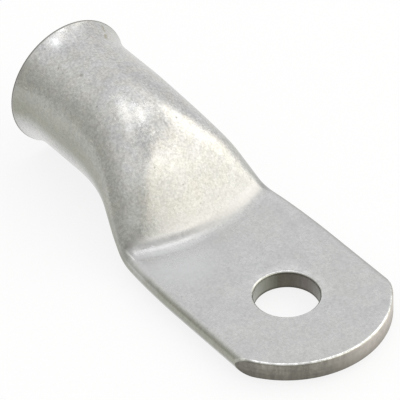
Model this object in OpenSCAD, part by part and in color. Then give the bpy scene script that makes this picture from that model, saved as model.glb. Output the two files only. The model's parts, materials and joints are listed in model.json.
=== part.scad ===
// Compression ring terminal: one drawn copper tube, flared at the wire end and
// pressed flat at the other end into a tongue with a stud hole.
// Origin: centre of the stud hole on the contact face of the tongue.
// +X runs to the rounded tip, the barrel lies towards -X, +Z is the stud's axis.
// Sizes in millimetres.

/* [Tube] */
// outside diameter of the barrel
barrel_od = 20; // [17:0.1:24]
// wall of the tube, two of which make the thickness of the tongue
wall = 1.6; // [1.2:0.05:2]
// length of the barrel from its mouth to the start of the ramp
barrel_l = 12.9; // [10:0.1:30]

/* [Flare] */
// length of the bell at the mouth
flare_l = 5.5; // [3:0.1:8]
// growth of the radius at the mouth
flare_rise = 1.25; // [0.6:0.05:1.8]
// bevel that breaks the two edges of the rim
rim_bevel = 0.25; // [0.1:0.05:0.5]

/* [Ramp] */
// distance from the stud hole back to the foot of the ramp
ramp_foot = 18.8; // [16:0.1:30]
// slope of the ramp against the tongue, in degrees
ramp_angle = 52; // [42:1:62]
// rounding where the barrel's top turns down into the ramp
shoulder_r = 24.4; // [15:0.1:29]
// rounding of the crease between the ramp and the tongue
foot_r = 2.8; // [1:0.1:5]
// radius of the press tool's edge, seen from above, which curves the crease
press_edge_r = 28; // [22:1:60]

/* [Spread] */
// distance past the ramp's start at which the sides start to spread
spread_lag = 1.7; // [0:0.1:6]
// distance from the stud hole back to where the sides run parallel
spread_end = 8.8; // [6:0.1:12]
// place of the turning point along the spread, as a share of its length
spread_turn = 0.41; // [0.3:0.01:0.7]
// share of the section's width that is flat where the ramp starts
flat_share = 0.4; // [0.1:0.05:0.9]

/* [Tongue] */
// width of the tongue
tongue_w = 30.3; // [26:0.1:36]
// distance from the stud hole to the tip
tip_reach = 16.5; // [13:0.1:22]
// depth of the tip's arc, from the tip back to its corners
tip_arc_depth = 10; // [6:0.1:12]
// rolled-over upper edge left by the shear along the tip
tip_edge_r = 0.5; // [0.2:0.05:0.8]

/* [Stud hole] */
// diameter of the stud hole
stud_hole_d = 10.4; // [8:0.1:13]
// rolled-over upper rim left by the punch
stud_rim_r = 0.5; // [0.2:0.05:0.8]

/* [Hidden] */
$fn = 96;

// thickness of the tongue: the two walls pressed together
tongue_t = 2 * wall;
barrel_r = barrel_od / 2;
bore_r = barrel_r - wall;
half_w = tongue_w / 2;

// side view of the ramp: a straight slope with a rounding at each end
ramp_drop = barrel_od - tongue_t;
half_tan = tan(ramp_angle / 2);
foot_x = -ramp_foot;
crease_x = foot_x - foot_r * half_tan;
ramp_x = crease_x - ramp_drop / tan(ramp_angle) - shoulder_r * half_tan;
shoulder_end_x = ramp_x + shoulder_r * sin(ramp_angle);
foot_start_x = foot_x - foot_r * sin(ramp_angle);
mouth_x = ramp_x - barrel_l;

// plan view of the spread
spread_x0 = ramp_x + spread_lag;
spread_x1 = -spread_end;
crease_bend = 1 / (2 * press_edge_r);

// arc of the tip
tip_r = (half_w * half_w + tip_arc_depth * tip_arc_depth) / (2 * tip_arc_depth);
tip_cx = tip_reach - tip_r;

// bell of the mouth: the outer curve has this radius
bell_r = (flare_l * flare_l + flare_rise * flare_rise) / (2 * flare_rise);

// points of a section: fan_steps round the side, top_steps from there to the middle
fan_steps = 8;
top_steps = 5;
ring_n = 4 * (fan_steps + top_steps);
ring_n_half = ring_n / 2;
// angle that the side's fan sweeps on a round section; on the tongue it sweeps 90
round_fan = 90 * fan_steps / (fan_steps + top_steps);
// least radius of the side's ellipse, where the walls meet
least_r = 0.01;

// the pressed skins start this far inside the barrel, this much under its surface,
// and leave it this far past its end
start_lap = 1;
start_inset = 0.015;
start_hold = 0.2;
// height at which the closing cavity ends
cavity_end = 0.12;
// clearance of the cutters beyond the faces that they cut
over = 1;
// steps of the small roundings, whose last step runs out past the face
edge_steps = 4;
edge_run = 0.15;
edge_lift = 0.05;
flare_steps = 10;

// height of the upper line above the tongue at x
function rise(x) =
    x <= ramp_x ? ramp_drop :
    x <= shoulder_end_x ? ramp_drop - shoulder_r + sqrt(pow(shoulder_r, 2) - pow(x - ramp_x, 2)) :
    x < foot_start_x ? (crease_x - x) * tan(ramp_angle) :
    x < foot_x ? foot_r - sqrt(pow(foot_r, 2) - pow(foot_x - x, 2)) :
    0;

// progress of the spread, 0 at the barrel and 1 where the sides run parallel
function spread(x) =
    let (q = min(1, max(0, (x - spread_x0) / (spread_x1 - spread_x0))))
    q < spread_turn ? q * q / spread_turn : 1 - pow(1 - q, 2) / (1 - spread_turn);

// smooth step between 0 and 1
function ease(q) =
    let (c = min(1, max(0, q)))
    c * c * (3 - 2 * c);

// backward bend of a section's sides, strongest at the crease
function bend(x) =
    crease_bend * (x < crease_x ? ease((x - ramp_x) / (crease_x - ramp_x))
                                : 1 - ease((x - crease_x) / (spread_x1 - crease_x)));

// one quarter of a section, from the side to the top: an ellipse of half height b
// pulled apart by a flat, then moved out by t
function quarter(a, b, flat, t) =
    let (
        bd = max(b, least_r),
        e = max(a - flat, bd),
        f = a - e,
        fan = 90 - (90 - round_fan) * min(1, b / a),
        y_fan = f + e * cos(atan2(bd * sin(fan), e * cos(fan)))
    )
    [for (i = [0 : fan_steps + top_steps - 1])
        let (
            y_top = y_fan * (1 - (i - fan_steps) / top_steps),
            angle = i <= fan_steps
                ? atan2(bd * sin(fan * i / fan_steps), e * cos(fan * i / fan_steps))
                : y_top > f ? acos((y_top - f) / e) : 90,
            y = i <= fan_steps ? f + e * cos(angle) : y_top,
            ny = bd * cos(angle),
            nz = e * sin(angle),
            n = norm([ny, nz])
        )
        [y + t * ny / n, b * sin(angle) + t * nz / n]
    ];

// a whole section, counter-clockwise from its right side
function section(a, b, flat, t) =
    let (
        q = quarter(a, b, flat, t),
        n = len(q),
        half = concat(q, [[0, b + t]], [for (i = [n - 1 : -1 : 1]) [-q[i][0], q[i][1]]])
    )
    concat(half, [for (p = half) -p]);

// section at station x: the cavity's outline moved out by t and in by the inset,
// its sides bent back along the curve of the press tool
function station(x, t, inset) =
    let (
        h = tongue_t + rise(x),
        pressed = 1 - rise(x) / ramp_drop,
        a = barrel_r + (half_w - barrel_r) * spread(x) - wall - inset,
        b = max(0, h / 2 - wall - inset),
        flat = (flat_share + (1 - flat_share) * pressed) * max(0, a - b),
        k = bend(x)
    )
    [for (p = section(a, b, flat, t)) [x - k * p[0] * p[0], p[0], h / 2 + p[1]]];

// skin of triangles through equal rings, each end closed by strips across its section
module loft(rings) {
    last_ring = (len(rings) - 1) * ring_n;
    sides = [for (j = [0 : len(rings) - 2]) for (i = [0 : ring_n - 1])
        let (a = j * ring_n + i, b = j * ring_n + (i + 1) % ring_n)
        each [[a, a + ring_n, b], [b, a + ring_n, b + ring_n]]];
    cap = [for (i = [0 : ring_n_half - 1])
        let (c = ring_n - i - 1, d = (ring_n - i) % ring_n)
        each concat(
            i < ring_n_half - 1 ? [[i, i + 1, c]] : [],
            i > 0 ? [[i, c, d]] : []
        )];
    far_cap = [for (f = cap) [last_ring + f[0], last_ring + f[2], last_ring + f[1]]];
    polyhedron(points = [for (r = rings) for (p = r) p], faces = concat(cap, sides, far_cap));
}

// stations of the pressed part from the shoulder to the foot of the ramp
shoulder_steps = 8;
slope_steps = 4;
foot_steps = 5;
press_stations = concat(
    [for (i = [1 : shoulder_steps]) ramp_x + shoulder_r * sin(ramp_angle * i / shoulder_steps)],
    [for (i = [1 : slope_steps - 1])
        shoulder_end_x + (foot_start_x - shoulder_end_x) * i / slope_steps],
    [for (i = [0 : foot_steps - 1]) foot_x - foot_r * sin(ramp_angle * (1 - i / foot_steps))]
);

// stations of the flat part while its sides still spread
spread_steps = 5;
spread_stations = [for (i = [0 : spread_steps]) foot_x + (spread_x1 - foot_x) * i / spread_steps];

// rings hidden in the barrel, where a pressed skin leaves it
function start_rings(t) = [
    for (x = [ramp_x - start_lap, ramp_x + start_hold])
        [for (p = station(ramp_x, t, start_inset)) [x, p[1], p[2]]]
];

module pressed_outside() {
    loft(concat(
        start_rings(wall),
        [for (x = concat(press_stations, spread_stations)) station(x, wall, 0)],
        [station(tip_reach + over, wall, 0)]
    ));
}

module pressed_cavity() {
    loft(concat(
        start_rings(0),
        [for (x = press_stations) if (rise(x) > cavity_end) station(x, 0, 0)]
    ));
}

// radius of the bell at distance s from the mouth, for a skin this far inside the outer one
function bell(s, depth) =
    barrel_r + bell_r - sqrt(pow(bell_r + depth, 2) - pow(flare_l - s, 2));

// curve of a bell from its bevelled rim to the straight tube, as [radius, x]
function bell_curve(depth) =
    [for (i = [1 : flare_steps])
        let (s = rim_bevel + (flare_l - rim_bevel) * i / flare_steps)
        [bell(s, depth), mouth_x + s]];

module barrel_outside() {
    translate([0, 0, barrel_r])
        rotate([0, 90, 0])
            rotate_extrude()
                polygon(concat(
                    [[0, mouth_x], [bell(0, 0) - rim_bevel, mouth_x], [bell(0, 0), mouth_x + rim_bevel]],
                    bell_curve(0),
                    [[barrel_r, ramp_x], [0, ramp_x]]
                ));
}

module barrel_bore() {
    bore_end = ramp_x - start_lap / 2;
    translate([0, 0, barrel_r])
        rotate([0, 90, 0])
            rotate_extrude()
                polygon(concat(
                    [
                        [0, mouth_x - over],
                        [bell(0, wall) + rim_bevel + over, mouth_x - over],
                        [bell(0, wall), mouth_x + rim_bevel]
                    ],
                    bell_curve(wall),
                    [[bore_r, bore_end], [0, bore_end]]
                ));
}

// plan of the flat end: all that lies behind the tip's arc, its upper edge rolled over
module tip_plan() {
    back_x = ramp_x - start_lap - over;
    translate([back_x, -tongue_w, -over])
        cube([tip_cx - back_x, 2 * tongue_w, barrel_od + 2 * over]);
    translate([tip_cx, 0, 0])
        rotate_extrude()
            polygon(concat(
                [[0, -over], [tip_r, -over]],
                [for (i = [0 : edge_steps - 1])
                    let (v = 90 * i / edge_steps)
                    [tip_r - tip_edge_r * (1 - cos(v)), tongue_t - tip_edge_r * (1 - sin(v))]],
                [[tip_r - tip_edge_r - edge_run, tongue_t + edge_lift], [0, tongue_t + edge_lift]]
            ));
}

module stud_hole() {
    hole_r = stud_hole_d / 2;
    rotate_extrude()
        polygon(concat(
            [[0, -over], [hole_r, -over]],
            [for (i = [0 : edge_steps - 1])
                let (v = 90 * i / edge_steps)
                [hole_r + stud_rim_r * (1 - cos(v)), tongue_t - stud_rim_r * (1 - sin(v))]],
            [[hole_r + stud_rim_r + edge_run, tongue_t + edge_lift], [0, tongue_t + edge_lift]]
        ));
}

module ring_terminal() {
    color([0.75, 0.75, 0.72])
        difference() {
            union() {
                barrel_outside();
                intersection() {
                    pressed_outside();
                    tip_plan();
                }
            }
            barrel_bore();
            pressed_cavity();
            stud_hole();
        }
}

ring_terminal();
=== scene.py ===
"""Compression ring terminal of tinned copper, seen in plain studio light.

The whole lug is one skin: a grid of rings that runs from the closed end of the
cavity, out through the bore, round the flared rim, along the barrel and the
pressed ramp to the tip of the tongue. Sizes and places on the lug are in
millimetres, and become metres where a mesh, a material or the floor is made.
Lamps and the camera are placed in metres.
"""

import json
import math

import bmesh
import bpy
import numpy as np
from mathutils import Matrix, Vector


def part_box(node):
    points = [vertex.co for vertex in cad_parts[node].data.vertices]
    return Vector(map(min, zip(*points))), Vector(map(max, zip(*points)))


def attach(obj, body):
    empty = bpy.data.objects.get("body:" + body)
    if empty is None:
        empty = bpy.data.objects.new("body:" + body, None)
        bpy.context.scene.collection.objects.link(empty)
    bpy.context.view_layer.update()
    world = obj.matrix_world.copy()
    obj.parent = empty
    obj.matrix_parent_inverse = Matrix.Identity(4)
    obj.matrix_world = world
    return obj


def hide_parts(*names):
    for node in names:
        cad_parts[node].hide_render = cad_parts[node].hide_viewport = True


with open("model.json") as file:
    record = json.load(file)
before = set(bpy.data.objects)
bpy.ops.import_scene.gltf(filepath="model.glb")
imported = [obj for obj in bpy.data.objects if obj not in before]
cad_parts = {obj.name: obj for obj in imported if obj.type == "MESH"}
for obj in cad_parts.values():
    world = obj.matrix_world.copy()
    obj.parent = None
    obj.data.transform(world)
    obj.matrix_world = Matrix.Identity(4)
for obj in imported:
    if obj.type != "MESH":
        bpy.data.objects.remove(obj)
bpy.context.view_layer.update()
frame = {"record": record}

MM = 0.001

# sizes read from the frame
low, high = ([c / MM for c in corner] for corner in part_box("ring_terminal"))
mounts = {m["name"]: m for m in frame["record"]["mounts"]}
half_w = high[1]
tip_reach = high[0]
mouth_x = low[0]
flare_rise = -low[2]
barrel_r = (low[2] + high[2]) / 2
bore_r = mounts["wire_barrel"]["dims"]["r_mm"]
hole_r = mounts["stud_hole"]["dims"]["r_mm"]
wall = barrel_r - bore_r
tongue_t = 2 * wall

# the mouth
flare_l = 5.5
rim_r = 0.25
rim_outer_r = 0.12

# the ramp, in side view
ramp_foot = 18.8
ramp_angle = math.radians(52)
shoulder_r = 24.4
foot_r = 2.8
worn_foot_r = 4.6
press_edge_r = 28

# the spread, in plan view
spread_lag = 1.7
spread_end = 8.8
spread_turn = 0.41
flat_share = 0.4

# the tip and the stud hole
tip_arc_depth = 10
tip_edge_r = 0.5
stud_rim_r = 0.5
lower_edge_r = 0.1

# lines worked out from the sizes above
ramp_drop = 2 * barrel_r - tongue_t
half_tan = math.tan(ramp_angle / 2)
crease_x = -ramp_foot - foot_r * half_tan
ramp_x = crease_x - ramp_drop / math.tan(ramp_angle) - shoulder_r * half_tan
shoulder_end_x = ramp_x + shoulder_r * math.sin(ramp_angle)
foot_x = crease_x + worn_foot_r * half_tan
foot_start_x = foot_x - worn_foot_r * math.sin(ramp_angle)
spread_x0 = ramp_x + spread_lag
spread_x1 = -spread_end
crease_bend = 1 / (2 * press_edge_r)
tip_r = (half_w ** 2 + tip_arc_depth ** 2) / (2 * tip_arc_depth)
tip_cx = tip_reach - tip_r
bell_r = (flare_l ** 2 + flare_rise ** 2) / (2 * flare_rise)

# how finely a section is cut: round the side, and from there to the middle
FAN_STEPS = 28
TOP_STEPS = 26
RING = 4 * (FAN_STEPS + TOP_STEPS)
# angle that the side's fan sweeps on a round section, and the least height that sets its shape
ROUND_FAN = math.radians(60)
LEAST_R = 0.01

# how finely the skin is cut along its length
BORE_STEPS = 8
INNER_BELL_STEPS = 16
RIM_STEPS = 5
OUTER_BELL_STEPS = 24
BARREL_STEPS = 12
SHOULDER_STEPS = 34
SLOPE_STEPS = 10
FOOT_STEPS = 16
TONGUE_STEPS = 18
EDGE_STEPS = 9
LOWER_EDGE_STEPS = 3
WALL_STEPS = 6
# rings from the back edge of the hole's block to the tip's edge, and those of them in the block
TIP_STEPS = 46
BLOCK_STEPS = 31
# half the size of the block of the tongue that is meshed round the stud hole
BLOCK_HALF = 8.4
# loops of the block, by their share of the way from the hole's edge out to its border
PLATE_SHARES = (0.8, 0.6, 0.42, 0.26, 0.13, 0.03)
# height of the ramp above the tongue at which the cavity ends
CAVITY_END = 0.12
# width of the narrow strip that keeps a flat face flat beside a rounded edge
HOLD = 0.07

# marks on the skin are 1 where a highlight is painted and -1 where it is painted dark: painted shade, and
# on the rim also its darker cut edge
# the rings round the outer corner of the rim, after the first: a darker cut edge with painted shade
RIM_MARKS = (-0.4, -0.8, -1.0, -1.0, -1.0)
# painted shade along the foot of the ramp, damping the highlight its bend would catch, and the part of the
# foot from the slope down that it covers
FOOT_PAINTED_SHADE = 0.27
FOOT_SHADE_SHARE = 0.8
# angle over a rolled edge up to which a highlight is painted on it, and how much of that the hole has
EDGE_HIGHLIGHT_END = math.radians(52)
HOLE_EDGE_HIGHLIGHT = 0.3
# painted shade on the tip's cut face just above its lower edge
TIP_LOWER_SHADE = 0.6
# painted highlight on the skin round the stud hole: its strength, its reach as a share of the way
# to the block's border, the direction in which it is full, and the share of it square to that direction
HOLE_HIGHLIGHT = 0.4
HOLE_HIGHLIGHT_REACH = 0.4
HOLE_HIGHLIGHT_SIDE = (-0.8, 0.6)
HOLE_HIGHLIGHT_SQUARE = 0.4

# faces of the skin by finish
SKIN, TIP, BORE, HOLE = range(4)


def rise(x):
    """Height of the upper line above the tongue."""
    if x <= ramp_x:
        return ramp_drop
    if x <= shoulder_end_x:
        return ramp_drop - shoulder_r + math.sqrt(shoulder_r ** 2 - (x - ramp_x) ** 2)
    if x < foot_start_x:
        return (crease_x - x) * math.tan(ramp_angle)
    if x < foot_x:
        return worn_foot_r - math.sqrt(worn_foot_r ** 2 - (foot_x - x) ** 2)
    return 0


def spread(x):
    """Progress from the barrel's width to the tongue's."""
    q = min(1, max(0, (x - spread_x0) / (spread_x1 - spread_x0)))
    if q < spread_turn:
        return q * q / spread_turn
    return 1 - (1 - q) ** 2 / (1 - spread_turn)


def ease(q):
    """Smooth step from 0 to 1, for a number or an array."""
    c = np.clip(q, 0, 1)
    return c * c * (3 - 2 * c)


def bend(x):
    """Backward bend of a section's sides, strongest at the crease."""
    if x < crease_x:
        return crease_bend * ease((x - ramp_x) / (crease_x - ramp_x))
    return crease_bend * (1 - ease((x - crease_x) / (spread_x1 - crease_x)))


def section(a, b, flat, out):
    """Points and outward normals of a section, counter-clockwise from its right side."""
    bd = max(b, LEAST_R)
    e = max(a - flat, bd)
    f = a - e
    fan = math.pi / 2 - (math.pi / 2 - ROUND_FAN) * min(1, b / a)
    sweep = fan * np.arange(FAN_STEPS + 1) / FAN_STEPS
    side = np.arctan2(bd * np.sin(sweep), e * np.cos(sweep))
    y_fan = f + e * math.cos(side[-1])
    y_top = y_fan * (1 - np.arange(1, TOP_STEPS) / TOP_STEPS)
    upper = np.where(y_top > f, np.arccos(np.clip((y_top - f) / e, -1, 1)), math.pi / 2)
    angle = np.concatenate([side, upper])
    y = np.concatenate([f + e * np.cos(side), y_top])
    normal = np.column_stack([bd * np.cos(angle), e * np.sin(angle)])
    normal /= np.linalg.norm(normal, axis=1)[:, None]
    quarter = np.column_stack([y, b * np.sin(angle)]) + out * normal
    mirror = np.array([-1, 1])
    points = np.vstack([quarter, [[0, b + out]], quarter[:0:-1] * mirror])
    normals = np.vstack([normal, [[0, 1]], normal[:0:-1] * mirror])
    return np.vstack([points, -points]), np.vstack([normals, -normals])


def station(x, out):
    """Ring of the pressed skin at x, as points (x, y, z)."""
    h = tongue_t + rise(x)
    pressed = 1 - rise(x) / ramp_drop
    a = barrel_r + (half_w - barrel_r) * spread(x) - wall
    b = max(0, h / 2 - wall)
    flat = (flat_share + (1 - flat_share) * pressed) * max(0, a - b)
    p, _ = section(a, b, flat, out)
    return np.column_stack([x - bend(x) * p[:, 0] ** 2, p[:, 0], h / 2 + p[:, 1]])


def circle(x, r):
    """Round ring about the barrel's axis."""
    p, _ = section(bore_r, bore_r, 0, r - bore_r)
    return np.column_stack([np.full(RING, x), p[:, 0], barrel_r + p[:, 1]])


def bell(s, depth):
    """Radius of the bell at distance s from the mouth, this far inside the outer skin."""
    return barrel_r + bell_r - math.sqrt((bell_r + depth) ** 2 - (flare_l - s) ** 2)


def between(start, end, steps):
    """Values from start up to but without end."""
    return [start + (end - start) * i / steps for i in range(steps)]


def quarter_turn(steps, first=0):
    """Angles over a rounded edge up to a right angle, from the first step on."""
    return [math.pi / 2 * i / steps for i in range(first, steps + 1)]


def foot_shade_marks(x):
    """Marks of a section: painted shade along the upper side of the foot, which also makes it rougher."""
    share = (x - foot_start_x) / (foot_x - foot_start_x) / FOOT_SHADE_SHARE
    if not 0 < share < 1:
        return 0.0
    upper = np.array([1.0] * (RING // 2) + [0.0] * (RING // 2))
    return -FOOT_PAINTED_SHADE * math.sin(math.pi * share) * upper


def edge_highlight(v):
    """How bright the painted highlight on a rolled edge is at this angle from its upper face."""
    return max(0, math.sin(math.pi * v / EDGE_HIGHLIGHT_END)) if v < EDGE_HIGHLIGHT_END else 0


def pressed_stations():
    """Stations of the shoulder, the slope and the foot."""
    shoulder = [ramp_x + shoulder_r * math.sin(v) for v in between(0, ramp_angle, SHOULDER_STEPS)]
    slope = between(shoulder_end_x, foot_start_x, SLOPE_STEPS)
    foot = [foot_x - worn_foot_r * math.sin(v) for v in between(ramp_angle, 0, FOOT_STEPS)]
    return shoulder + slope + foot


def inner_rings(stations):
    """Rings from the closed end of the cavity through the bore to the rim."""
    cavity = [station(x, 0) for x in reversed(stations[1:]) if rise(x) > CAVITY_END]
    bore = [circle(x, bore_r) for x in between(ramp_x, mouth_x + flare_l, BORE_STEPS)]
    mouth = [circle(mouth_x + s, bell(s, wall)) for s in between(flare_l, rim_r, INNER_BELL_STEPS)]
    return cavity + bore + mouth


def rim_rings():
    """Rings over the rounded rim, from its inner corner to its outer one, and their marks."""
    inner = bell(rim_r, wall)
    outer = bell(rim_outer_r, 0)
    rings = []
    for v in quarter_turn(RIM_STEPS):
        rings.append(circle(mouth_x + rim_r * (1 - math.sin(v)), inner + rim_r * (1 - math.cos(v))))
    for v in quarter_turn(RIM_STEPS):
        x = mouth_x + rim_outer_r * (1 - math.cos(v))
        rings.append(circle(x, outer - rim_outer_r * (1 - math.sin(v))))
    return rings, [0.0] * (len(rings) - len(RIM_MARKS)) + list(RIM_MARKS)


def barrel_rings():
    """Rings of the outer bell and the straight barrel."""
    mouth = [circle(mouth_x + s, bell(s, 0)) for s in between(rim_outer_r, flare_l, OUTER_BELL_STEPS)[1:]]
    return mouth + [circle(x, barrel_r) for x in between(mouth_x + flare_l, ramp_x, BARREL_STEPS)]


def tip_rings():
    """Rings that turn from a straight one into the tip's arc, then over its edge, and their marks."""
    p, n = section(half_w - wall, 0, half_w - wall, wall)
    upper = ease(n[:, 1])
    lower = ease(-n[:, 1])
    edge = lower_edge_r + (tip_edge_r - lower_edge_r) * upper

    def on_arc(inset, out):
        """Points moved in from the surface by inset, at the arc's radius plus out."""
        q = p - n * inset[:, None]
        x = tip_cx + np.sqrt((tip_r + out) ** 2 - q[:, 0] ** 2)
        return np.column_stack([x, q[:, 0], wall + q[:, 1]])

    straight = station(-BLOCK_HALF, wall)
    near = on_arc(0 * edge, -edge) - [HOLD, 0, 0]
    rings = [straight + (near - straight) * i / TIP_STEPS for i in range(TIP_STEPS + 1)]
    marks = [0 * edge] * len(rings)
    # over the edge: a painted highlight on the upper rolled edge and painted shade on the lower one
    for v in quarter_turn(EDGE_STEPS):
        rings.append(on_arc(edge * (1 - math.cos(v)), -edge * (1 - math.sin(v))))
        marks.append(upper * edge_highlight(v) - lower * math.sin(v))
    # then painted shade on the cut face just above its lower edge
    rings.append(on_arc(edge + HOLD, 0 * edge))
    marks.append(-TIP_LOWER_SHADE * lower)
    return rings, marks


class Skin:
    """Vertices and faces gathered for one mesh."""

    def __init__(self):
        self.points = []
        self.edge = []
        self.faces = []
        self.finish = []

    def add(self, points, edge=0.0):
        """Adds a ring with its marks, and returns the numbers of its points."""
        first = len(self.points)
        self.points.extend(tuple(p) for p in points)
        self.edge.extend(np.broadcast_to(edge, len(points)).tolist())
        return list(range(first, first + len(points)))

    def face(self, corners, finish):
        """A face without its repeated corners, left out if fewer than three remain."""
        kept = [c for i, c in enumerate(corners) if c != corners[i - 1]]
        if len(kept) > 2:
            self.faces.append(kept)
            self.finish.append(finish)

    def quad(self, one, other, i, finish):
        """The face between two loops of the same length, from their point i to the next."""
        j = (i + 1) % len(one)
        self.face([one[i], one[j], other[j], other[i]], finish)

    def band(self, one, other, finish):
        """Quads between two loops of the same length."""
        for i in range(len(one)):
            self.quad(one, other, i, finish)

    def bands(self, rings, finish):
        """Bands along a row of rings."""
        for one, other in zip(rings, rings[1:]):
            self.band(one, other, finish)

    def close_flat(self, ring, finish):
        """Strips across a section, from its upper half to its lower half."""
        for i in range(RING // 2):
            self.face([ring[i], ring[i + 1], ring[RING - i - 1], ring[(RING - i) % RING]], finish)


def border(rows, columns):
    """Loop round the part of some rings that lies in these columns."""
    loop = [rows[0][c] for c in columns]
    loop += [r[columns[-1]] for r in rows[1:-1]]
    loop += [rows[-1][c] for c in reversed(columns)]
    loop += [r[columns[0]] for r in reversed(rows[1:-1])]
    return loop


def hole_wall(skin, rows, columns):
    """Meshes the block round the stud hole, above and below, and the hole's wall."""
    top = border(rows, columns)
    bottom = border(rows, [(RING - c) % RING for c in columns])
    plan = np.array([skin.points[i] for i in top])[:, :2]
    reach = np.linalg.norm(plan, axis=1)
    ray = plan / reach[:, None]
    behind = np.clip(HOLE_HIGHLIGHT_SQUARE + (1 - HOLE_HIGHLIGHT_SQUARE) * ray @ np.array(HOLE_HIGHLIGHT_SIDE), 0, 1)

    def run(loop, stages):
        """Bands from a loop through stages given as radius, height, mark and finish."""
        for radius, z, mark, finish in stages:
            flat = ray * np.reshape(radius, (-1, 1))
            ring = skin.add(np.column_stack([flat, np.full(len(ray), z)]), mark)
            skin.band(loop, ring, finish)
            loop = ring
        return loop

    def plate(edge_r, z, highlight_strength):
        """Stages from the block's border in to a rounded edge."""
        # the upper plate gets a painted highlight, strongest on one side of the hole
        return [(edge_r + (reach - edge_r) * share, z, highlight_strength * max(0, 1 - share / HOLE_HIGHLIGHT_REACH) * behind, SKIN)
                for share in PLATE_SHARES]

    stages = plate(hole_r + stud_rim_r, tongue_t, HOLE_HIGHLIGHT)
    for v in quarter_turn(EDGE_STEPS):
        r = hole_r + stud_rim_r * (1 - math.sin(v))
        z = tongue_t - stud_rim_r * (1 - math.cos(v))
        # a painted highlight on the hole's rolled upper edge
        stages.append((r, z, HOLE_EDGE_HIGHLIGHT * edge_highlight(v), SKIN if v < EDGE_HIGHLIGHT_END else HOLE))
    wall_foot = lower_edge_r + HOLD
    stages += [(hole_r, z, 0.0, HOLE) for z in between(tongue_t - stud_rim_r - HOLD, wall_foot, WALL_STEPS)]
    # painted shade along the foot of the hole's wall and round its lower edge
    stages += [(hole_r, z, -1.0, HOLE) for z in (wall_foot, lower_edge_r)]
    for v in quarter_turn(LOWER_EDGE_STEPS, 1):
        r = hole_r + lower_edge_r * (1 - math.cos(v))
        stages.append((r, lower_edge_r * (1 - math.sin(v)), -1.0, HOLE))
    last = run(top, stages)
    skin.band(run(bottom, plate(hole_r + lower_edge_r, 0, 0)), last, SKIN)


def hole_block(skin, rows):
    """Skin of the rings beside the stud hole, with the block round the hole set in."""
    half = rows[0][:RING // 2 + 1]
    columns = [i for i, p in enumerate(half) if abs(skin.points[p][1]) < BLOCK_HALF and FAN_STEPS < i]
    opened = set(columns[:-1]) | {RING - c - 1 for c in columns[:-1]}
    for one, other in zip(rows, rows[1:]):
        for i in range(RING):
            if i not in opened:
                skin.quad(one, other, i, SKIN)
    hole_wall(skin, rows, columns)


def lug_skin():
    """The whole lug as one closed skin."""
    skin = Skin()
    stations = pressed_stations()
    tongue = [station(x, wall) for x in between(foot_x, -BLOCK_HALF, TONGUE_STEPS)]
    inside = [skin.add(r) for r in inner_rings(stations)]
    rim = [skin.add(r, m) for r, m in zip(*rim_rings())]
    body = [skin.add(r) for r in barrel_rings()]
    body += [skin.add(station(x, wall), foot_shade_marks(x)) for x in stations]
    body += [skin.add(r) for r in tongue]
    end = [skin.add(r, m) for r, m in zip(*tip_rings())]

    skin.close_flat(inside[0], BORE)
    skin.bands(inside + rim + body[:1], BORE)
    skin.bands(body + end[:1], SKIN)
    hole_block(skin, end[:BLOCK_STEPS + 1])
    nose = end[BLOCK_STEPS:]
    cut = len(nose) - EDGE_STEPS - 2 + round(EDGE_STEPS * EDGE_HIGHLIGHT_END / (math.pi / 2))
    skin.bands(nose[:cut + 1], SKIN)
    skin.bands(nose[cut:], TIP)
    skin.close_flat(nose[-1], TIP)
    return skin


def mesh_object(name, skin, materials):
    """A smooth closed mesh from a skin, in metres, with its normals turned outwards."""
    mesh = bpy.data.meshes.new(name)
    mesh.from_pydata([tuple(c * MM for c in p) for p in skin.points], [], skin.faces)
    for m in materials:
        mesh.materials.append(m)
    mesh.polygons.foreach_set("material_index", skin.finish)
    mesh.attributes.new("edge", "FLOAT", "POINT").data.foreach_set("value", skin.edge)
    work = bmesh.new()
    work.from_mesh(mesh)
    bmesh.ops.recalc_face_normals(work, faces=work.faces)
    if work.calc_volume(signed=True) < 0:
        bmesh.ops.reverse_faces(work, faces=work.faces)
    for face in work.faces:
        face.smooth = True
    work.to_mesh(mesh)
    work.free()
    piece = bpy.data.objects.new(name, mesh)
    bpy.context.scene.collection.objects.link(piece)
    return piece


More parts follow.
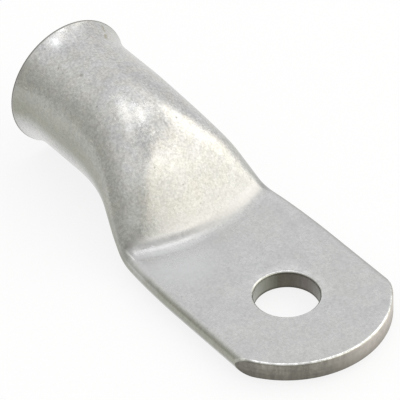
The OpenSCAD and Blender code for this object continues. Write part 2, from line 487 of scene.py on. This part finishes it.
class Nodes:
    """Short hand for a material's or the world's node tree."""

    def __init__(self, owner):
        owner.use_nodes = True
        self.tree = owner.node_tree
        self.tree.nodes.clear()

    def add(self, kind, **settings):
        """A node; names that are settings of the node are set, the others are inputs."""
        node = self.tree.nodes.new(kind)
        for key, value in settings.items():
            if hasattr(node, key):
                setattr(node, key, value)
            else:
                self.feed(node, key.replace("_", " "), value)
        return node

    def feed(self, node, socket, value):
        """Links a node's first output to the input, or sets the input's value."""
        target = node.inputs[socket]
        if isinstance(value, bpy.types.NodeSocket):
            self.tree.links.new(value, target)
        elif isinstance(value, bpy.types.Node):
            self.tree.links.new(value.outputs[0], target)
        else:
            target.default_value = value

    def noise(self, place, scale, detail, roughness):
        """Cloudy pattern, mostly between 0.3 and 0.7."""
        node = self.add("ShaderNodeTexNoise", Vector=place, Scale=scale, Detail=detail, Roughness=roughness)
        return node.outputs["Fac"]

    def ramp(self, value, stops):
        """Colour ramp from (position, colour) pairs."""
        node = self.add("ShaderNodeValToRGB", Fac=value)
        bar = node.color_ramp.elements
        while len(bar) < len(stops):
            bar.new(0.5)
        for element, (position, colour) in zip(bar, stops):
            element.position = position
            element.color = (*colour, 1)
        return node.outputs["Color"]

    def span(self, value, low, high, start, end):
        """Maps value from start..end to low..high, and no further."""
        node = self.add("ShaderNodeMapRange", Value=value, From_Min=start, From_Max=end)
        self.feed(node, "To Min", low)
        self.feed(node, "To Max", high)
        return node.outputs["Result"]

    def math(self, operation, one, other=0.0):
        """One number from two."""
        node = self.add("ShaderNodeMath", operation=operation)
        self.feed(node, 0, one)
        self.feed(node, 1, other)
        return node.outputs[0]

    def times(self, one, other):
        return self.math("MULTIPLY", one, other)

    def plus(self, one, other):
        return self.math("ADD", one, other)

    def vector(self, operation, one, other):
        """A node that works on two vectors."""
        node = self.add("ShaderNodeVectorMath", operation=operation)
        self.feed(node, 0, one)
        self.feed(node, 1, other)
        return node

    def dot(self, one, other):
        return self.vector("DOT_PRODUCT", one, other).outputs["Value"]

    def parts(self, vector):
        """The outputs X, Y and Z of a vector."""
        return self.add("ShaderNodeSeparateXYZ", Vector=vector).outputs

    def blend(self, mode, share, one, other):
        """Mixes two colours."""
        node = self.add("ShaderNodeMix", data_type="RGBA", blend_type=mode)
        for index, value in ((0, share), (6, one), (7, other)):
            self.feed(node, index, (*value, 1) if isinstance(value, tuple) else value)
        return node.outputs[2]


# noise patterns: scale, detail and roughness
CLOUD = (260, 4, 0.6)
DRIFT = (110, 3, 0.6)
HUE = (520, 2, 0.6)
SMALL = (2300, 3, 0.65)
BLOTCH = (700, 3, 0.6)
SHEAR = (1500, 3, 0.6)
LAYERS = (1800, 2, 0.5)
WANDER = (900, 2, 0.5)
# breaks up the painted highlights on the edges
HIGHLIGHT_BREAKUP = (1100, 2, 0.6)
LOW_WAVE = (330, 3, 0.55)
FINE_WAVE = (1300, 3, 0.6)
# parts of a noise's range over which something grows
WIDE = (0.3, 0.7)
BROAD = (0.32, 0.68)
FLECK_PART = (0.34, 0.66)
NARROW = (0.35, 0.65)
DRIFT_PART = (0.45, 0.75)
HUE_PART = (0.4, 0.65)
HIGHLIGHT_PART = (0.38, 0.58)

# tones
PIT_TONE = (0.3, 0.29, 0.26)
NICK_TONE = (0.76, 0.76, 0.74)
WARM_TONE = (1.0, 0.975, 0.93)
# painted shade of the upright sides
SIDE_SHADE_TONE = (0.65, 0.655, 0.58)
# painted shade of the far side
FAR_SHADE_TONE = (0.5, 0.5, 0.48)
# painted reflection on the tip's cut face
TIP_REFLECTION_TONE = (0.63, 0.585, 0.53)
# painted highlight on rolled edges and round the stud hole
HIGHLIGHT_TONE = (0.86, 0.86, 0.84)
# painted shade on edges; on the rim also its darker cut edge
DARK_TONE = (0.13, 0.12, 0.1)
# tone of a smudge, also used for painted shade in a corner of the crease
GRIME_AND_SHADE = (0.16, 0.155, 0.13)
# tone of a paler patch
PALE_PATCH_TONE = (0.63, 0.63, 0.635)
SCUFFED = (0.3, 0.275, 0.17)
# painted highlight along the left end of the crease
CREASE_HIGHLIGHT_TONE = (0.85, 0.85, 0.83)

# drift of the clouds to the tint, and strength of the small and the large flecks
TINT_MOST = 0.6
SMALL_FLECK = 1.15
LARGE_FLECK = 0.4
# pits: cells a metre, radius, share of the cells with one, their depth of tone on plain skin
# and what worked skin adds to it
PIT_SCALE = 700
PIT_R = 0.2
PIT_SHARE = 0.4
PIT_PLAIN = 0.2
PIT_WORKED = 0.3
# nicks that lie two ways: stretch by axis, noise pattern, and the part of its range that shows
NICKS = [
    ((0.35, 1.0, 1.0), (2600, 2, 0.5), (0.66, 0.74)),
    ((1.0, 0.4, 0.7), (2400, 2, 0.5), (0.68, 0.76)),
]
# how strong they are on plain skin, and their depth of tone
NICK_PLAIN = 0.4
NICK_DEPTH = 0.4
# warm hue: its most, and how much of that plain skin has
HUE_MOST = 0.75
HUE_PLAIN = 0.1
# height above the tongue's underside from which the skin is worked, and where it is fully so,
# and how far the upright sides, which get painted shade, are spared
WORKED_FROM = 4.5
WORKED_FULL = 8.0
SIDE_SHADE_CALM = 0.8

# upward part of the normal at which the painted shade of the sides is full, and gone: on the
# barrel and ramp, on the tongue, and on the lower side of both
SIDE_FULL = 0.1
SIDE_CLEAR = 0.75
TONGUE_FULL = 0.58
TONGUE_CLEAR = 0.92
LOW_FULL = -0.03
LOW_CLEAR = -0.24
# where along the lug the ramp's tone gives way to the tongue's
TONGUE_FROM = -19.0
TONGUE_TO = -16.5
# painted reflection of the floor that lightens the underside: how much, and the normal at which it is full
UNDERSIDE_REFLECTION = 1.2
UNDERSIDE_REFLECTION_FULL = -0.4
# painted shade on the side of the tongue and of the ramp's foot that faces +Y: its depth, and
# the part of the normal and of the length over which it comes in
FAR_SHADE = 0.8
FAR_SLOPE = (0.25, 0.6)
FAR_FROM = -26.0
FAR_TO = -20.0

# smudges, painted shade at the left end of the crease, and a paler patch on the tongue: centre, reach,
# depth and colour
SMUDGES_AND_SHADE = [
    # painted shade in the corner at the left end of the crease
    ((-23.9, -11.6, 4.8), 2.6, 0.35, GRIME_AND_SHADE),
    ((-24.0, -12.8, 4.4), 1.4, 0.3, GRIME_AND_SHADE),
    # a smudge on the barrel
    ((-47.8, -3.9, 19.2), 0.45, 0.5, GRIME_AND_SHADE),
    # a paler patch on the tongue beside the crease
    ((-17.0, -8.5, 3.2), 7.5, 0.75, PALE_PATCH_TONE),
]
# share of a patch that is full, and the raggedness of its edge: share of its reach, and most
PATCH_CORE = 0.3
PATCH_FRAY = 0.5
FRAY_MOST = 1.5
# a rubbed line on the flare, and painted highlights along the left end of the crease: both ends, half
# width, depth and colour
RUBS_AND_HIGHLIGHTS = [
    ((-57.7, 7.3, 18.3), (-53.4, 5.0, 18.7), 0.4, 0.75, SCUFFED),
    # painted highlights along the crisp left end of the crease
    ((-23.8, -13.5, 3.4), (-20.8, -13.65, 3.02), 0.2, 0.7, CREASE_HIGHLIGHT_TONE),
    ((-23.7, -13.0, 3.7), (-21.6, -9.4, 3.72), 0.2, 0.2, CREASE_HIGHLIGHT_TONE),
]
# share of a line's width that is full, and shares of its half length at which it
# begins to fade and is gone
LINE_CORE = 0.3
LINE_FADE = 0.65
LINE_END = 1.06

# sheared faces: stretch of their two patterns and the tones that these span
SHEAR_STRETCH = (1, 1, 0.18)
SHEAR_SPAN = (0.82, 1.14)
LAYER_STRETCH = (0.12, 0.12, 1)
LAYER_SPAN = (0.88, 1.08)
# painted reflections and shade on the hole's wall, from one side to the other along a line across the hole
HOLE_LINE = (0.607, 0.794, 0)
HOLE_PAINTED_TONES = [
    (0.0, (0.44, 0.45, 0.39)),
    (0.2, (0.26, 0.265, 0.22)),
    (0.38, (0.11, 0.105, 0.08)),
    (0.6, (0.105, 0.095, 0.078)),
    (0.8, (0.16, 0.14, 0.13)),
    (1.0, (0.26, 0.26, 0.235)),
]
HOLE_PAINTED_DEPTH = 0.8
HOLE_SHEAR_SPAN = (0.94, 1.06)
# painted reflection on the tip's cut face, growing from one place across it to the other
TIP_REFLECTION_FROM = -6.2
TIP_REFLECTION_TO = 5.5
TIP_REFLECTION_SPAN = (0.75, 1.1)

# painted highlights and shade of the edges: least brightness of the highlight, and depth of the dark tone
HIGHLIGHT_LEAST = 0.15
DARK_DEPTH = 0.8
# roughness: below and above the finish's own, by the flecks, and on dark-marked edges
ROUGH_SPAN = (-0.04, 0.05)
ROUGH_FLECK = 0.03
ROUGH_DARK_MARK = 0.3
# bump: height of the waves against the grain, of pits and of nicks, and its scale in metres
WAVE_HEIGHT = 1.3
PIT_HEIGHT = 0.7
NICK_HEIGHT = 0.4
BUMP_SCALE = 0.00004


def specks(n, place):
    """Small round pits in some cells of a scattered pattern: 1 inside a pit."""
    cells = n.add("ShaderNodeTexVoronoi", Vector=place, Scale=PIT_SCALE)
    radius = PIT_R * MM * PIT_SCALE
    near = n.span(cells.outputs["Distance"], 1, 0, radius / 2, radius)
    lot = n.add("ShaderNodeSeparateColor", Color=cells.outputs["Color"])
    return n.times(near, n.math("LESS_THAN", lot.outputs[0], PIT_SHARE))


def stretched(n, place, scale):
    """The place scaled by axis, for streaks."""
    return n.vector("MULTIPLY", place, scale).outputs[0]


def streaks(n, place):
    """1 on short fine nicks that lie two ways across the skin."""
    ways = []
    for stretch, pattern, part in NICKS:
        ways.append(n.span(n.noise(stretched(n, place, stretch), *pattern), 0, 1, *part))
    return n.math("MAXIMUM", *ways)


def rub_and_highlight_line(n, place, start, end, half):
    """1 on a short line between two points of the skin, for a rubbed line and for a painted highlight."""
    start, end = Vector(start) * MM, Vector(end) * MM
    half = half * MM
    half_length = (end - start).length / 2
    away = n.vector("SUBTRACT", place, tuple((start + end) / 2))
    along = n.math("ABSOLUTE", n.dot(away, tuple((end - start).normalized())))
    distance = n.add("ShaderNodeVectorMath", operation="LENGTH", Vector=away).outputs["Value"]
    square = n.math("SUBTRACT", n.math("POWER", distance, 2.0), n.math("POWER", along, 2.0))
    side = n.math("SQRT", n.math("MAXIMUM", square, 0.0))
    side = n.plus(side, n.span(n.noise(place, *WANDER), -half, half, *WIDE))
    line = n.span(n.math("ABSOLUTE", side), 1, 0, LINE_CORE * half, half)
    return n.times(line, n.span(along, 1, 0, LINE_FADE * half_length, LINE_END * half_length))


def patch(n, place, centre, reach):
    """1 at a point of the skin and 0 beyond its reach, with a ragged edge."""
    away = n.vector("DISTANCE", place, tuple(c * MM for c in centre)).outputs["Value"]
    fray = min(PATCH_FRAY * reach, FRAY_MOST) * MM
    ragged = n.span(n.noise(place, *BLOTCH), -fray, fray, *WIDE)
    return n.span(n.plus(away, ragged), 1, 0, PATCH_CORE * reach * MM, reach * MM)


def facing(n):
    """The parts of the surface's normal."""
    return n.parts(n.add("ShaderNodeNewGeometry").outputs["Normal"])


def side_shade(n, place):
    """Painted shade on the pressed sides: darker where the skin stands upright, as on the photo."""
    up = facing(n)["Z"]
    x = n.parts(place)["X"]
    full = n.span(x, SIDE_FULL, TONGUE_FULL, TONGUE_FROM * MM, TONGUE_TO * MM)
    clear = n.span(x, SIDE_CLEAR, TONGUE_CLEAR, TONGUE_FROM * MM, TONGUE_TO * MM)
    above = n.span(up, 0, 1, full, clear)
    below = n.span(up, 0, 1, LOW_FULL, LOW_CLEAR)
    return n.math("SUBTRACT", 1.0, n.math("MAXIMUM", above, below))


def worked(n, place):
    """1 on the upper side of the barrel and ramp, where the skin is marked most."""
    high_up = n.span(n.parts(place)["Z"], 0, 1, WORKED_FROM * MM, WORKED_FULL * MM)
    return n.times(high_up, n.math("SUBTRACT", 1.0, n.times(side_shade(n, place), SIDE_SHADE_CALM)))


def mottled(n, place, cloud, dark, light, tint):
    """Clouds from dark to light that drift to the tint."""
    tone = n.ramp(cloud, [(WIDE[0], dark), (WIDE[1], light)])
    return n.blend("MIX", n.span(n.noise(place, *DRIFT), 0, TINT_MOST, *DRIFT_PART), tone, tint)


def flecked(n, tone, small, blotch, amount):
    """Fine and larger flecks, lighter and darker."""
    fine = n.span(small, -SMALL_FLECK, SMALL_FLECK, *FLECK_PART)
    large = n.span(blotch, -LARGE_FLECK, LARGE_FLECK, *BROAD)
    return n.blend("MULTIPLY", 1.0, tone, n.plus(1.0, n.times(n.plus(fine, large), amount)))


def marked(n, place, tone, busy, pits, nicks):
    """Dark pits, bright nicks and a warmer hue, more of them on busy skin."""
    depth = n.times(pits, n.plus(PIT_PLAIN, n.times(busy, PIT_WORKED)))
    tone = n.blend("MULTIPLY", depth, tone, PIT_TONE)
    tone = n.blend("MIX", n.times(nicks, NICK_DEPTH), tone, NICK_TONE)
    hue = n.span(n.noise(place, *HUE), 0, HUE_MOST, *HUE_PART)
    return n.blend("MULTIPLY", n.times(hue, n.plus(HUE_PLAIN, busy)), tone, WARM_TONE)


def sheared(n, place, tone):
    """Lines of a cut face down its height and along its layers; also gives the first pattern."""
    shear = n.noise(stretched(n, place, SHEAR_STRETCH), *SHEAR)
    tone = n.blend("MULTIPLY", 1.0, tone, n.span(shear, *SHEAR_SPAN, *NARROW))
    layers = n.noise(stretched(n, place, LAYER_STRETCH), *LAYERS)
    return n.blend("MULTIPLY", 1.0, tone, n.span(layers, *LAYER_SPAN, *NARROW)), shear


def hole_tone(n, place, tone, shear):
    """Painted reflections and shade on the hole's wall, different on each side."""
    across = n.span(n.dot(place, HOLE_LINE), 0, 1, -hole_r * MM, hole_r * MM)
    lined = n.span(shear, *HOLE_SHEAR_SPAN, *NARROW)
    wall_tone = n.blend("MULTIPLY", 1.0, n.ramp(across, HOLE_PAINTED_TONES), lined)
    return n.blend("MIX", HOLE_PAINTED_DEPTH, tone, wall_tone)


def tip_tone(n, place, tone, blotch):
    """The tip's cut face, with a painted reflection on its far half."""
    tip_reflection = n.span(n.parts(place)["Y"], 0, 1, TIP_REFLECTION_FROM * MM, TIP_REFLECTION_TO * MM)
    return n.blend("MIX", n.times(tip_reflection, n.span(blotch, *TIP_REFLECTION_SPAN, *NARROW)), tone, TIP_REFLECTION_TONE)


def skin_tone(n, place, tone):
    """Painted shade on the upright and far sides and a painted reflection on the underside, then smudges,
    painted shade and a paler patch, then a rubbed line and painted highlights.
    """
    tone = n.blend("MULTIPLY", side_shade(n, place), tone, SIDE_SHADE_TONE)
    turned = facing(n)
    # painted reflection of the floor, lightening the underside
    tone = n.blend("MULTIPLY", 1.0, tone, n.span(turned["Z"], 1, UNDERSIDE_REFLECTION, LOW_CLEAR, UNDERSIDE_REFLECTION_FULL))
    # painted shade on the side that faces +Y
    far_part = n.span(n.parts(place)["X"], 0, FAR_SHADE, FAR_FROM * MM, FAR_TO * MM)
    far_shade_share = n.times(n.span(turned["Y"], 0, 1, *FAR_SLOPE), far_part)
    tone = n.blend("MULTIPLY", far_shade_share, tone, FAR_SHADE_TONE)
    for centre, reach, depth, colour in SMUDGES_AND_SHADE:
        tone = n.blend("MIX", n.times(patch(n, place, centre, reach), depth), tone, colour)
    for start, end, half, depth, colour in RUBS_AND_HIGHLIGHTS:
        tone = n.blend("MIX", n.times(rub_and_highlight_line(n, place, start, end, half), depth), tone, colour)
    return tone


def painted_edge_marks(n, place, tone):
    """Painted highlights and dark marks from the mesh, mostly painted shade; also gives the dark marks'
    share, which roughens the skin.
    """
    edge = n.add("ShaderNodeAttribute", attribute_name="edge").outputs["Fac"]
    bright = n.math("MAXIMUM", edge, 0.0)
    dark_mark = n.math("MAXIMUM", n.times(edge, -1.0), 0.0)
    painted_highlight = n.times(bright, n.span(n.noise(place, *HIGHLIGHT_BREAKUP), HIGHLIGHT_LEAST, 1.0, *HIGHLIGHT_PART))
    tone = n.blend("MIX", painted_highlight, tone, HIGHLIGHT_TONE)
    return n.blend("MIX", n.times(dark_mark, DARK_DEPTH), tone, DARK_TONE), dark_mark


def relief(n, place, pits, nicks, grain):
    """Bump of the plating: low waves and grain, with pits let in and nicks standing proud."""
    height = n.plus(n.times(n.noise(place, *LOW_WAVE), WAVE_HEIGHT), n.noise(place, *FINE_WAVE))
    height = n.math("SUBTRACT", height, n.times(pits, PIT_HEIGHT))
    height = n.plus(height, n.times(nicks, NICK_HEIGHT))
    return n.add("ShaderNodeBump", Strength=grain, Distance=BUMP_SCALE, Height=height)


def tin(name, dark, light, rough, tint, fleck, grain, kind):
    """Matte tin plating: mottled tone, fine flecks, pits, grain in the bump.

    tint is the warm colour that the clouds drift to, fleck the strength of the
    flecks, grain the strength of the bump, and kind the finish it is made for.
    """
    material = bpy.data.materials.new(name)
    n = Nodes(material)
    place = n.add("ShaderNodeTexCoord").outputs["Object"]
    cloud = n.noise(place, *CLOUD)
    small = n.noise(place, *SMALL)
    blotch = n.noise(place, *BLOTCH)
    busy = worked(n, place) if kind == SKIN else 0.0
    pits = specks(n, place)
    nicks = n.times(streaks(n, place), n.plus(NICK_PLAIN, busy))

    tone = mottled(n, place, cloud, dark, light, tint)
    tone = flecked(n, tone, small, blotch, n.times(n.plus(1.0, busy), fleck))
    tone = marked(n, place, tone, busy, pits, nicks)
    if kind in (TIP, HOLE):
        tone, shear = sheared(n, place, tone)
    if kind == HOLE:
        tone = hole_tone(n, place, tone, shear)
    if kind == TIP:
        tone = tip_tone(n, place, tone, blotch)
    if kind == SKIN:
        tone = skin_tone(n, place, tone)
    tone, dark_mark = painted_edge_marks(n, place, tone)

    uneven = n.plus(n.span(cloud, rough + ROUGH_SPAN[0], rough + ROUGH_SPAN[1], *WIDE),
                    n.span(small, -ROUGH_FLECK, ROUGH_FLECK, *BROAD))
    shader = n.add("ShaderNodeBsdfPrincipled", Metallic=1.0, Base_Color=tone)
    n.feed(shader, "Roughness", n.plus(uneven, n.times(dark_mark, ROUGH_DARK_MARK)))
    n.feed(shader, "Normal", relief(n, place, pits, nicks, grain))
    n.add("ShaderNodeOutputMaterial", Surface=shader)
    return material


# the floor's own tone, how far it is lifted to plain white for the camera and in
# reflections, and half its size in metres
FLOOR_TONE = 0.85
FLOOR_LIFT = 0.8
FLOOR_HALF = 3.0


def floor_material():
    """Pale matte floor, lifted towards white where the camera or a mirror sees it."""
    material = bpy.data.materials.new("pale_floor")
    n = Nodes(material)
    path = n.add("ShaderNodeLightPath").outputs
    seen = n.math("MAXIMUM", path["Is Camera Ray"], path["Is Glossy Ray"])
    seen = n.math("MAXIMUM", seen, path["Is Transmission Ray"])
    mixed = n.add("ShaderNodeMixShader")
    n.feed(mixed, 0, n.times(seen, FLOOR_LIFT))
    n.feed(mixed, 1, n.add("ShaderNodeBsdfDiffuse", Color=(FLOOR_TONE, FLOOR_TONE, FLOOR_TONE, 1)))
    n.feed(mixed, 2, n.add("ShaderNodeEmission", Color=(1, 1, 1, 1), Strength=1.0))
    n.add("ShaderNodeOutputMaterial", Surface=mixed)
    return material


def make_floor():
    """A large floor that the lowest point of the solid stands on."""
    z = low[2] * MM
    corners = [(-FLOOR_HALF, -FLOOR_HALF, z), (FLOOR_HALF, -FLOOR_HALF, z),
               (FLOOR_HALF, FLOOR_HALF, z), (-FLOOR_HALF, FLOOR_HALF, z)]
    mesh = bpy.data.meshes.new("floor")
    mesh.from_pydata(corners, [], [(0, 1, 2, 3)])
    mesh.materials.append(floor_material())
    floor = bpy.data.objects.new("floor", mesh)
    bpy.context.scene.collection.objects.link(floor)


def heading(azimuth, elevation):
    """Unit vector towards a direction: azimuth 0 is -Y and 90 is +X, in degrees."""
    a, e = math.radians(azimuth), math.radians(elevation)
    return Vector((math.sin(a) * math.cos(e), -math.cos(a) * math.cos(e), math.sin(e)))


# the point that the lamps face
AIM = Vector((-0.02, 0, 0.008))
# name, azimuth, elevation, distance, width, height, radiance, colour
LAMPS = [
    ("window", 152, 31, 0.9, 0.95, 0.88, 0.74, (1.0, 0.95, 0.82)),
    ("window_left", 168, 30, 0.9, 0.4, 0.85, 0.42, (1.0, 0.965, 0.88)),
    ("window_right", 106, 35, 0.9, 0.45, 0.6, 0.77, (1.0, 0.955, 0.86)),
    ("ceiling", 272, 83, 0.9, 0.45, 0.4, 0.5, (0.96, 0.97, 1.0)),
    ("small_low", 178, 71, 0.9, 0.13, 0.13, 3.3, (0.98, 0.98, 1.0)),
    ("small_high", 267, 81, 0.9, 0.15, 0.15, 1.55, (0.98, 0.98, 1.0)),
]
# the room: even at the front, brighter at the back and overhead
ROOM_FRONT = 0.68
ROOM_BACK = 0.40
ROOM_ABOVE = 0.28
BACK_AZIMUTH = 200
# cosines of the angles from the back, and sines of the elevations, over which these come in
BACK_PART = (-0.4, 0.4)
ABOVE_PART = (math.sin(math.radians(35)), math.sin(math.radians(55)))
FRONT_TINT = (1.0, 1.0, 0.96)
BACK_TINT = (0.985, 0.99, 1.0)
# soft patches of the room: azimuth, elevation, change of strength
ROOM_PATCHES = [
    (204, 24, -0.17),
    (60, 50, 0.18),
    (130, 62, -0.15),
    (190, 58, 0.25),
    (297, 42, 0.09),
]
# angles from a patch's middle at which it ends and is full, as cosines
PATCH_PART = (math.cos(math.radians(27)), math.cos(math.radians(7)))


def softbox(name, azimuth, elevation, distance, width, height, radiance, colour):
    """Square lamp that faces the object; its power follows from its radiance and area."""
    lamp = bpy.data.lights.new(name, "AREA")
    lamp.shape = "RECTANGLE"
    lamp.size = width
    lamp.size_y = height
    lamp.energy = radiance * width * height * math.pi
    lamp.color = colour
    holder = bpy.data.objects.new(name, lamp)
    away = heading(azimuth, elevation)
    holder.location = AIM + away * distance
    holder.rotation_euler = away.to_track_quat("Z", "Y").to_euler()
    bpy.context.scene.collection.objects.link(holder)


def light_world():
    """A plain room, lighter behind the lug and towards the ceiling."""
    world = bpy.data.worlds.new("room")
    bpy.context.scene.world = world
    n = Nodes(world)
    place = n.add("ShaderNodeTexCoord").outputs["Generated"]
    above = n.span(n.parts(place)["Z"], 0, 1, *ABOVE_PART)
    behind = n.span(n.dot(place, tuple(heading(BACK_AZIMUTH, 0))), 0, 1, *BACK_PART)
    low_part = n.times(behind, n.math("SUBTRACT", 1.0, above))
    strength = n.plus(n.times(low_part, ROOM_BACK), n.times(above, ROOM_ABOVE))
    for azimuth, elevation, change in ROOM_PATCHES:
        near = n.dot(place, tuple(heading(azimuth, elevation)))
        strength = n.plus(strength, n.span(near, 0, change, *PATCH_PART))
    tint = n.blend("MIX", n.math("MAXIMUM", above, behind), FRONT_TINT, BACK_TINT)
    back = n.add("ShaderNodeBackground", Color=tint, Strength=n.plus(strength, ROOM_FRONT))
    n.add("ShaderNodeOutputWorld", Surface=back)


# the camera, fitted to the photograph's frame of 400 by 400 pixels; distances in metres
FRAME_PX = 400
SENSOR_MM = 36
FOCAL_PX = 3687.4
CAMERA_FAR = 0.57286
CAMERA_AZIMUTH = 52.638
CAMERA_ELEVATION = 41.146
CAMERA_ROLL = 0.886
CLIP_START = 0.01
HOLE_PIXEL = (286.99, 309.33)


def make_camera():
    """Looks from its azimuth and elevation, turned so that the stud hole falls on its pixel."""
    back = heading(CAMERA_AZIMUTH, CAMERA_ELEVATION)
    right = (-back).cross(Vector((0, 0, 1))).normalized()
    up = right.cross(-back)
    ray = Vector((HOLE_PIXEL[0] - FRAME_PX / 2, FRAME_PX / 2 - HOLE_PIXEL[1], FOCAL_PX)).normalized()
    turn = Vector((0, 0, 1)).rotation_difference(ray).to_matrix()
    roll = Matrix.Rotation(math.radians(CAMERA_ROLL), 3, "Z")
    axes = turn @ roll @ Matrix((right, up, -back))
    camera = bpy.data.cameras.new("camera")
    camera.sensor_width = SENSOR_MM
    camera.lens = FOCAL_PX / FRAME_PX * SENSOR_MM
    camera.clip_start = CLIP_START
    holder = bpy.data.objects.new("camera", camera)
    basis = Matrix((axes[0], axes[1], -axes[2])).transposed().to_4x4()
    holder.matrix_world = Matrix.Translation(back * CAMERA_FAR) @ basis
    bpy.context.scene.collection.objects.link(holder)
    bpy.context.scene.camera = holder


# name, dark and light tone, roughness, tint, flecks, grain and kind
FINISHES = [
    ("tin_skin", (0.51, 0.51, 0.504), (0.552, 0.552, 0.546), 0.245, (0.53, 0.53, 0.51), 0.072, 0.45, SKIN),
    # the tip's cut face: a darker sheared finish, deepened with painted shade
    ("tin_tip_cut_and_shade", (0.17, 0.163, 0.14), (0.275, 0.265, 0.235), 0.38, (0.32, 0.3, 0.26), 0.1, 0.5, TIP),
    ("tin_bore", (0.46, 0.46, 0.44), (0.54, 0.54, 0.52), 0.4, (0.5, 0.48, 0.43), 0.06, 0.35, BORE),
    # the hole's wall: sheared streaks in tones dark with painted shade
    ("tin_hole_wall_and_shade", (0.15, 0.145, 0.125), (0.24, 0.235, 0.205), 0.38, (0.2, 0.195, 0.165), 0.1, 0.5, HOLE),
]

make_camera()
make_floor()
light_world()
for lamp in LAMPS:
    softbox(*lamp)

lug = mesh_object("lug", lug_skin(), [tin(*finish) for finish in FINISHES])
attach(lug, "root")
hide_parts("ring_terminal")

bpy.context.scene.view_settings.view_transform = "Standard"
